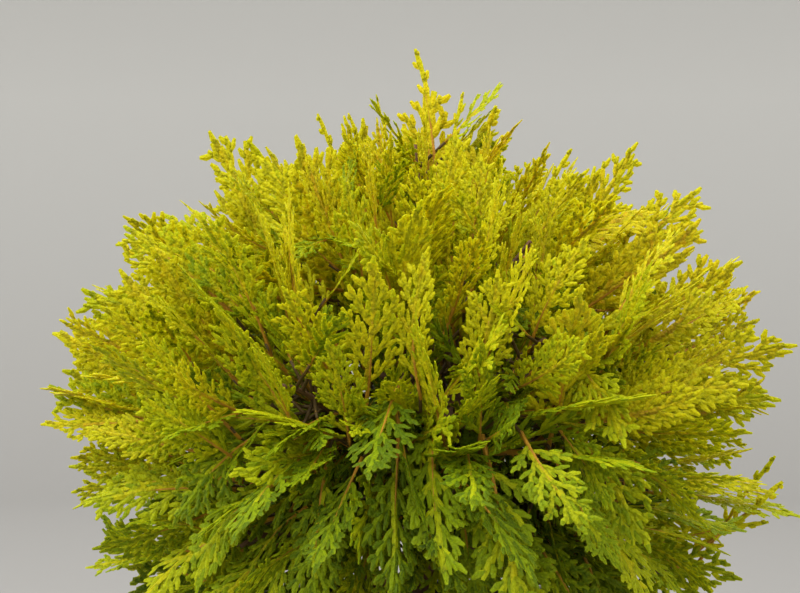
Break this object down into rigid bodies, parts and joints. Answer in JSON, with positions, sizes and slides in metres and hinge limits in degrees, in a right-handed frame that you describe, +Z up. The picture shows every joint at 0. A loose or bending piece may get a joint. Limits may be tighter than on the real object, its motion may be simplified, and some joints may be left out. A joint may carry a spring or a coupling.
{
  "type": "potted globe arborvitae",
  "caption": "Young globe-shaped golden conifer with flat fan sprays, growing in a round black nursery pot.",
  "frame": {"origin": "centre of the pot's flat underside, on the surface that the pot stands on", "axes": "+Z up along the pot's axis, -Y towards the viewer of the picture, +X to the viewer's right"},
  "size_m": [0.2833, 0.2451, 0.3829],
  "materials": {
    "pot_plastic": "satin black injection-moulded plastic",
    "potting_mix": "moist bark-based potting mix",
    "bark": "thin fibrous reddish-brown bark",
    "foliage_low": "matt waxy scale leaves, yellow-green",
    "foliage_middle": "matt waxy scale leaves, golden green",
    "foliage_high": "matt waxy scale leaves, golden",
    "foliage_top": "matt waxy scale leaves, golden"
  },
  "bodies": {
    "root": {"bough_high_1": "bark", "bough_high_2": "bark", "bough_high_3": "bark", "bough_high_4": "bark", "bough_high_5": "bark", "bough_low_1": "bark", "bough_low_2": "bark", "bough_low_3": "bark", "bough_low_4": "bark", "bough_low_5": "bark", "bough_low_6": "bark", "bough_low_7": "bark", "bough_middle_1": "bark", "bough_middle_2": "bark", "bough_middle_3": "bark", "bough_middle_4": "bark", "bough_middle_5": "bark", "bough_middle_6": "bark", "foliage_high_1": "foliage_high", "foliage_high_2": "foliage_high", "foliage_high_3": "foliage_high", "foliage_high_4": "foliage_high", "foliage_high_5": "foliage_high", "foliage_low_1": "foliage_low", "foliage_low_2": "foliage_low", "foliage_low_3": "foliage_low", "foliage_low_4": "foliage_low", "foliage_low_5": "foliage_low", "foliage_low_6": "foliage_low", "foliage_low_7": "foliage_low", "foliage_middle_1": "foliage_middle", "foliage_middle_2": "foliage_middle", "foliage_middle_3": "foliage_middle", "foliage_middle_4": "foliage_middle", "foliage_middle_5": "foliage_middle", "foliage_middle_6": "foliage_middle", "foliage_top": "foliage_top", "pot": "pot_plastic", "potting_mix": "potting_mix", "trunk": "bark"}
  },
  "joints": []
}
